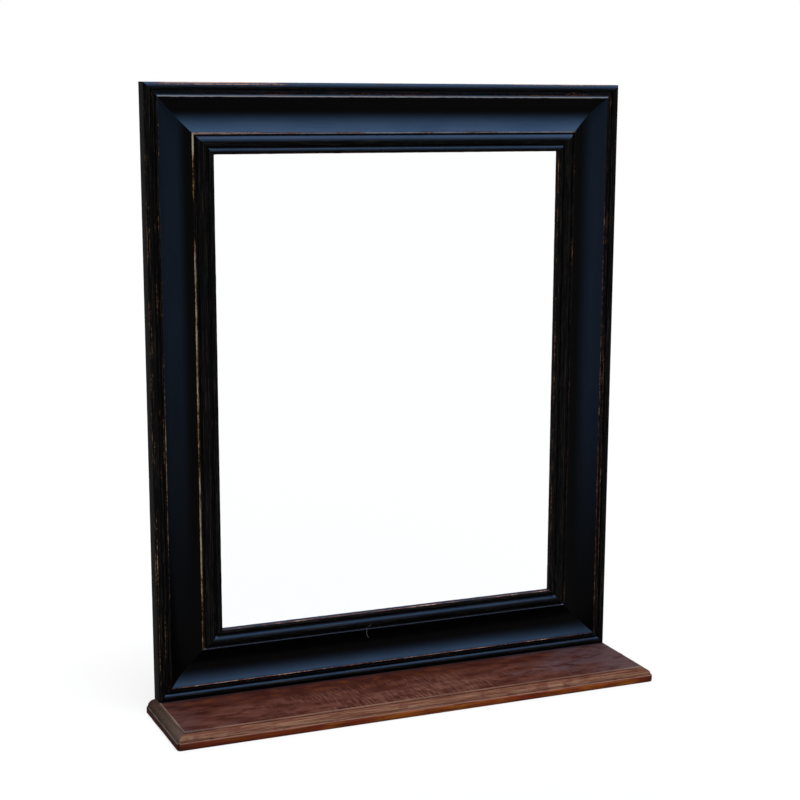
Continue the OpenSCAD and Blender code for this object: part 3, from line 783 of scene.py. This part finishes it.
# the flat: worn and greyer in front, darker and redder towards the frame, with a mauve-grey painted sheen
# towards both ends
front_tone = blended("#43231c", "#633d33", blotches, 0.36, 0.64)
back_tone = blended("#3a1c16", "#4b271e", blotches, 0.36, 0.64)
back_tone = blended(back_tone, "#64361a", dark_spots, 0.46, 0.3, 0.6)
depth_in = add_node("Math", greyed, 90 * mm, -45 * mm, operation="MULTIPLY_ADD")
depth_in = add_node("Math", from_front, depth_in)
tone = blended(front_tone, back_tone, depth_in, 66 * mm, 108 * mm)
tone = blended(tone, "#331a15", grain, 0.35, 0.7, 0.4)
red_middle = -0.06              # the grey haze grows from here towards both ends, and blotchily
off_middle = add_node("Math", add_node("Math", sideways, -red_middle), operation="ABSOLUTE")
end_sheen_share = add_node("Math", off_middle, 4.2, operation="MULTIPLY")
end_sheen_share = add_node("Math", end_sheen_share, add_node("Math", greyed, 2.4, -2.1, operation="MULTIPLY_ADD"))
end_sheen_share = add_node("Math", end_sheen_share, add_node("MapRange", from_end, 80 * mm, 10 * mm, 0.0, 0.3))
kept_red = add_node("MapRange", sideways, -0.14, -0.22)
kept_red = masked(kept_red, from_front, 22 * mm, 42 * mm, 0.65)
not_red = add_node("Math", 1.0, kept_red, operation="SUBTRACT")
# painted sheen: the flat turns mauve-grey towards both ends, blotchily
tone = add_node("Mix", masked(not_red, end_sheen_share, 0.0, 0.6, 0.78), tone, "#4f3e42", data_type="RGBA")
tone = blended(tone, "#351510", dark_spots, 0.52, 0.68, 0.7)
for lines, most, colour in ((lit_ripple, 0.5, "#825e50"), (dark_ripple, 0.4, "#38201a")):
    share = add_node("Math", lines, most, operation="MULTIPLY")
    tone = add_node("Mix", share, tone, colour, data_type="RGBA")
# painted shadow: the flat darkens to blue-black over the last 11 mm before the frame's foot
foot = wall_y - outer_crown - shelf_front
tone = blended(tone, "#211d22", from_front, foot - 11 * mm, foot, 0.75)

# the moulded edge: a painted sheen highlight, palest low on the quarter-round and darker towards its top,
# streaked with grain
edge_in = add_node("Math", from_front, from_end, operation="MINIMUM")
moulded = add_node("MapRange", edge_in, 13.4 * mm, 12.8 * mm)
streaks = noise_on(at, (80, 1.5, 1.5), 3.0, 0.7, seed=33.0)
on_streaks = add_node("MapRange", streaks, 0.42, 0.58)
lower_round = add_node("Mix", on_streaks, "#94715c", "#693f30", data_type="RGBA")
upper_round = add_node("Mix", on_streaks, "#7c5543", "#4f2b20", data_type="RGBA")
round_painted_sheen = blended(upper_round, lower_round, height, 20.6 * mm, 15.5 * mm)
round_painted_sheen = blended(round_painted_sheen, "#5d3128", dark_spots, 0.52, 0.64, 0.6)
tone = add_node("Mix", moulded, tone, round_painted_sheen, data_type="RGBA")
# the end faces: grey with pores, darker towards the back
grey_end_face = blended("#564c45", "#2f2825", pores, 0.4, 0.62)
grey_end_face = blended(grey_end_face, "#191712", inwards, -60 * mm, 40 * mm, 0.85)
end_face_share = add_node("Math", end_face, 0.85, operation="MULTIPLY")
tone = add_node("Mix", end_face_share, tone, grey_end_face, data_type="RGBA")
orange = blended("#984226", "#b46428", blotches, 0.38, 0.6)
orange = blended(orange, "#74321f", sideways, -0.06, -0.3, 0.8)
orange = blended(orange, "#54241a", streaks, 0.44, 0.6, 0.8)
orange = blended(orange, "#3a2220", end_face, 0.0, 1.0, 0.85)
orange = blended(orange, "#4a2820", from_end, 36 * mm, 6 * mm, 0.75)
tone = add_node("Mix", masked(moulded, height, 10.4 * mm, 8.6 * mm), tone, orange, data_type="RGBA")
# a painted highlight along the nose's rounded top, 10 to 12 mm up, greyer on the end faces
nose_highlight_share = add_node("MapRange", height, 10.0 * mm, 10.8 * mm)
nose_highlight_share = masked(nose_highlight_share, height, 12.2 * mm, 11.6 * mm)
for limit in (moulded, 0.75):
    nose_highlight_share = add_node("Math", nose_highlight_share, limit, operation="MULTIPLY")
nose_highlight_tone = add_node("Mix", end_face, "#a07264", "#77706c", data_type="RGBA")
tone = add_node("Mix", nose_highlight_share, tone, nose_highlight_tone, data_type="RGBA")
# a painted highlight along the step up to the flat, greyer towards the ends
step_highlight_share = add_node("MapRange", edge_in, 12.2 * mm, 12.5 * mm)
step_highlight_share = masked(step_highlight_share, edge_in, 15.6 * mm, 14.0 * mm)
step_highlight_share = masked(step_highlight_share, height, 21.0 * mm, 21.6 * mm)
step_highlight_share = masked(step_highlight_share, greyed, 0.4, 0.6, 0.95, 0.5)
step_highlight_tone = blended("#96705f", "#7f796f", from_end, 60 * mm, 5 * mm)
tone = add_node("Mix", step_highlight_share, tone, step_highlight_tone, data_type="RGBA")

# painted shade in the groove and under the nose, and a little dust on the flat
in_groove = add_node("MapRange", edge_in, 2.6 * mm, 2.2 * mm)
in_groove = masked(in_groove, edge_in, 1.4 * mm, 1.7 * mm)
groove_shade_share = masked(in_groove, dark_spots, 0.4, 0.6, 0.9, 0.35)
tone = add_node("Mix", groove_shade_share, tone, "#241310", data_type="RGBA")
# painted shade: the nose's underside darkens below 1.9 mm up
tone = blended(tone, "#241010", height, 1.9 * mm, 0.7 * mm, 0.85)
dust = add_node("MapRange", noise_on(at, (1.6, 1.6, 1.6), 1.0, seed=29.0), 0.795, 0.83, 0.0, 0.6)
tone = add_node("Mix", masked(dust, height, 22.6 * mm, 22.9 * mm), tone, "#c9bfb6", data_type="RGBA")

oiled = add_node("MapRange", blotches, 0.3, 0.7, 0.5, 0.66)
uneven = None
for pattern, depth in ((grain, 0.6), (pores, 0.4), (lit_ripple, 0.35)):
    cut = add_node("Math", pattern, depth, operation="MULTIPLY")
    uneven = cut if uneven is None else add_node("Math", uneven, cut)
planed = add_node("Bump", Strength=0.35, Distance=0.25 * mm, Height=uneven)
skin = add_node("BsdfPrincipled", tone, Roughness=oiled, Specular_IOR_Level=0.0, Coat_Weight=0.05,
                Coat_Roughness=0.4, Normal=planed, Coat_Normal=planed)
add_node("OutputMaterial", skin)
board.data.materials.clear()
board.data.materials.append(stain)
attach(board, "frame")
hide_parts("shelf")

# -------------------------------------------------------------------------------------- plate
# A sheet of float glass, silvered on its back, which lies in the rebate. The eye sees the room
# in it and nothing of the plate itself.
silvered = bpy.data.materials.new("silvered float glass")
tree = blank_tree(silvered)
add_node("OutputMaterial", add_node("BsdfPrincipled", "#fcfdfd", Metallic=1.0, Roughness=0.015))


def refinish(node, material):
    """Gives a CAD node's own material slots another material."""
    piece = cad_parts[node]
    if not piece.material_slots:
        piece.data.materials.append(material)
    for held in piece.material_slots:
        held.material = material


refinish("mirror_glass", silvered)

# ------------------------------------------------------------------- packing round the plate
# Two moulded rubber blocks carry the plate's lower edge, and pressed cork pads keep the other
# three sides centred in the rebate. The eye sees dull black rubber, and crumbly tan cork.
rubber = bpy.data.materials.new("moulded black rubber")
tree = blank_tree(rubber)
at = add_node("TexCoord", give="Object")
cast = noise_on(at, (6, 6, 6), 3.0, seed=1.0)
rubber_tone = add_node("Mix", cast, "#1b1b1c", "#2b2b2c", data_type="RGBA")
pebbled = add_node("Bump", Strength=0.3, Distance=0.1 * mm, Height=noise_on(at, (0.5, 0.5, 0.5), 2.0))
skin = add_node("BsdfPrincipled", rubber_tone, Roughness=0.7, Specular_IOR_Level=0.3, Normal=pebbled)
add_node("OutputMaterial", skin)
refinish("setting_blocks", rubber)

cork = bpy.data.materials.new("pressed granulated cork")
tree = blank_tree(cork)
at = add_node("TexCoord", give="Object")
granules = add_node("TexVoronoi", at, 1 / (1.5 * mm))
cork_tone = add_node("Mix", granules, "#a07546", "#6b4526", data_type="RGBA")
crumbly = add_node("Bump", Strength=0.5, Distance=0.2 * mm, Height=granules)
add_node("OutputMaterial", add_node("BsdfPrincipled", cork_tone, Roughness=0.9, Normal=crumbly))
refinish("edge_spacers", cork)

# ------------------------------------------------------------------------------ backing board
# A sheet of wet-pressed hardboard, rough side out. The eye sees brown felted fibres, with the
# mark of the wire mesh that it was pressed on.
hardboard = bpy.data.materials.new("hardboard, mesh side out")
tree = blank_tree(hardboard)
at = add_node("TexCoord", give="Object")
felted = noise_on(at, (2.5, 2.5, 2.5), 5.0, 0.7)
damp_patch = noise_on(at, (140, 140, 140), 2.0, seed=6.0)
board_tone = blended("#5a3d27", "#7f5c3d", felted, 0.3, 0.7)
board_tone = blended(board_tone, "#4a3322", damp_patch, 0.4, 0.65, 0.4)
sideways, inwards, height = add_node("SeparateXYZ", at).node.outputs
wire_gap = 2.4 * mm             # wires 2 mm apart, drawn a little coarser than they are so that they show
wires = []
for way in (sideways, height):
    phase = add_node("Math", way, 2 * math.pi / wire_gap, operation="MULTIPLY")
    wires.append(add_node("Math", phase, operation="SINE"))
crossing = add_node("Math", *wires, operation="MULTIPLY")
pressed = add_node("Math", crossing, add_node("Math", felted, 2.0, operation="MULTIPLY"))
rough_side = add_node("Bump", Strength=0.5, Distance=0.15 * mm, Height=pressed)
skin = add_node("BsdfPrincipled", board_tone, Roughness=0.8, Specular_IOR_Level=0.2, Normal=rough_side)
add_node("OutputMaterial", skin)
refinish("backing_board", hardboard)

# ------------------------------------------------------------------------------------ battens
# Four planed pine strips, laid round the backing board and bradded to the rebate wall. The eye
# sees pale yellow wood with brown growth lines along each strip, and eased edges.
pine = bpy.data.materials.new("planed pine, unfinished")
tree = blank_tree(pine)
along_in = add_node("Attribute", give="Vector", attribute_name="grain")
growth = noise_on(along_in, (3.2, 3.2, 190), 2.0, 0.5)
fine = noise_on(along_in, (0.5, 0.5, 30), 3.0, 0.6, seed=4.0)
pine_tone = blended("#c9a26a", "#a2713e", growth, 0.42, 0.6)
pine_tone = blended(pine_tone, "#8d6a44", fine, 0.3, 0.75, 0.5)
furred = add_node("Bump", Strength=0.3, Distance=0.12 * mm, Height=fine)
skin = add_node("BsdfPrincipled", pine_tone, Roughness=0.72, Specular_IOR_Level=0.2, Normal=furred)
add_node("OutputMaterial", skin)

brads = cutter_from("batten_brads", fatter=0.04 * mm)
eased = 0.5 * mm
for number, name in enumerate(("top_batten", "bottom_batten", "left_batten", "right_batten")):
    low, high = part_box(name)
    size = high - low
    bpy.ops.object.select_all(action="DESELECT")
    bpy.ops.mesh.primitive_cube_add(size=1)
    strip = bpy.context.object
    strip.name = name.replace("_batten", "_strip")
    strip.scale = size
    strip.location = (low + high) / 2
    bpy.ops.object.transform_apply(location=True, scale=True)
    bpy.ops.object.mode_set(mode="EDIT")
    bpy.ops.mesh.select_all(action="SELECT")
    bpy.ops.mesh.bevel(offset=eased, segments=2)
    bpy.ops.object.mode_set(mode="OBJECT")
    cut_out(strip, "brad holes", brads)
    bpy.ops.object.shade_smooth_by_angle(angle=math.radians(35))
    # each point's place across, through and along its strip, moved on from strip to strip, so
    # that no two have the same figure
    kept = strip.data.attributes.new("grain", "FLOAT_VECTOR", "POINT")
    for v, g in zip(strip.data.vertices, kept.data):
        across, run = (v.co.x, v.co.z) if size.z > size.x else (v.co.z, v.co.x)
        g.vector = (across + 0.31 * number, v.co.y, run + 1.7 * number)
    strip.data.materials.clear()
    strip.data.materials.append(pine)
    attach(strip, "frame")
    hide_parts(name)
bpy.data.objects.remove(brads)

# ---------------------------------------------------------------------------------- dowels
# Two fluted beech dowels, glued half in the shelf and half in the bottom rail, out of sight.
# With the joint apart, the eye would see pale tan wood with short brown flecks.
beech = bpy.data.materials.new("fluted beech dowel")
tree = blank_tree(beech)
flecks = noise_on(add_node("TexCoord", give="Object"), (0.7, 0.7, 9), 2.0)
beech_tone = add_node("Mix", flecks, "#c8a277", "#a37a4f", data_type="RGBA")
add_node("OutputMaterial", add_node("BsdfPrincipled", beech_tone, Roughness=0.7))
refinish("shelf_dowels", beech)

# ---------------------------------------------------------------- nails, brads and screws
# Drawn and stamped steel, bright from the works and a little dulled since. The eye sees a grey
# metal with fine drawing marks and a few brown specks of rust.
steel = bpy.data.materials.new("bright drawn steel, dulled")
tree = blank_tree(steel)
at = add_node("TexCoord", give="Object")
drawn = noise_on(at, (0.3, 0.3, 6), 2.0)
rust = add_node("MapRange", noise_on(at, (1.8, 1.8, 1.8), 4.0, 0.7, seed=8.0), 0.56, 0.7)
rusted = add_node("Math", rust, 0.7, operation="MULTIPLY")
steel_tone = add_node("Mix", rusted, "#8d8c8a", "#5b3c2a", data_type="RGBA")
skin = add_node("BsdfPrincipled", steel_tone, Metallic=add_node("MapRange", rust, 0.0, 1.0, 1.0, 0.4),
                Roughness=add_node("MapRange", drawn, 0.2, 0.8, 0.3, 0.5))
add_node("OutputMaterial", skin)
for node in ("mitre_nails", "batten_brads", "shelf_screws"):
    refinish(node, steel)

# ------------------------------------------------------------------------------------ hangers
# On each stile's back a strap of pressed steel, folded round the bar of a D-shaped wire ring
# and held by two pan-head screws; all zinc plated. The eye sees a clear bluish-grey metal with
# a faint spangle and duller patches.
zinc = bpy.data.materials.new("bright zinc plating on pressed steel")
tree = blank_tree(zinc)
at = add_node("TexCoord", give="Object")
spangle = noise_on(at, (2.2, 2.2, 2.2), 2.0, 0.4)
dulling = noise_on(at, (7, 7, 7), 4.0, 0.6, seed=3.0)
zinc_tone = add_node("Mix", spangle, "#aeb2b6", "#c6c8ca", data_type="RGBA")
skin = add_node("BsdfPrincipled", zinc_tone, Metallic=1.0,
                Roughness=add_node("MapRange", dulling, 0.25, 0.75, 0.22, 0.42))
add_node("OutputMaterial", skin)
for node in ("left_hanger_strap", "right_hanger_strap", "left_hanger_ring", "right_hanger_ring",
             "hanger_screws"):
    refinish(node, zinc)

# ------------------------------------------------------------------------------- wall bumpers
# Two turned-over rubber pads stuck to the stiles' backs near their feet, which keep the frame
# parallel to the wall.
refinish("wall_bumpers", rubber)
